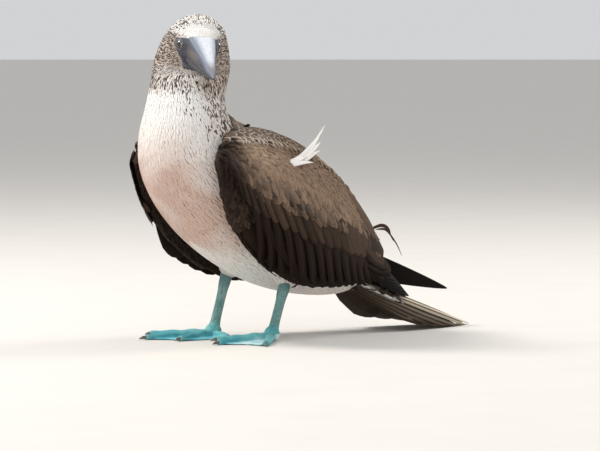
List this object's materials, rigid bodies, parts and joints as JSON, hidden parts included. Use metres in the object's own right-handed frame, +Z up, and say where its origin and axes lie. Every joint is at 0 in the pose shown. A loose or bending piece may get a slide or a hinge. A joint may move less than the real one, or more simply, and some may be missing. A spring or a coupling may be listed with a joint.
{
  "type": "blue-footed booby",
  "caption": "Life-size still model of a blue-footed booby standing on both webbed feet, wings folded and head turned to its left.",
  "frame": {"origin": "on the floor, under the middle of the bird's outline seen from above", "axes": "+Z up, -Y the way the breast faces, +Y towards the tail, +X the bird's left side"},
  "size_m": [0.2256, 0.5019, 0.3885],
  "materials": {
    "white_plumage": "white breast and belly feathers, soft and matt",
    "streaked_plumage": "white feathers with fine brown streaks, matt",
    "brown_plumage": "brown wing feathers with paler edges, matt",
    "blackish_plumage": "blackish flight feathers, slight sheen",
    "tail_plumage": "pale buff tail feathers with darker outer ones, matt",
    "bill_blue_grey": "smooth pale blue-grey horn",
    "bill_slate": "smooth slate-grey horn",
    "eye_yellow": "wet glossy eye, pale yellow iris with a round black pupil",
    "blue_leg": "scaled grey-blue skin, satin",
    "blue_web": "scaled turquoise skin and smooth webs, satin",
    "claw_horn": "grey-brown horn, satin"
  },
  "bodies": {
    "root": {"torso": "white_plumage", "neck": "streaked_plumage", "head": "streaked_plumage", "bill_upper": "bill_blue_grey", "bill_lower": "bill_slate", "eye_left": "eye_yellow", "eye_right": "eye_yellow", "wing_left": "brown_plumage", "wing_right": "brown_plumage", "primaries_left": "blackish_plumage", "primaries_right": "blackish_plumage", "tail": "tail_plumage", "leg_left": "blue_leg", "leg_right": "blue_leg", "foot_left": "blue_web", "foot_right": "blue_web", "claw_left_1": "claw_horn", "claw_left_2": "claw_horn", "claw_left_3": "claw_horn", "claw_left_4": "claw_horn", "claw_right_1": "claw_horn", "claw_right_2": "claw_horn", "claw_right_3": "claw_horn", "claw_right_4": "claw_horn"}
  },
  "joints": []
}
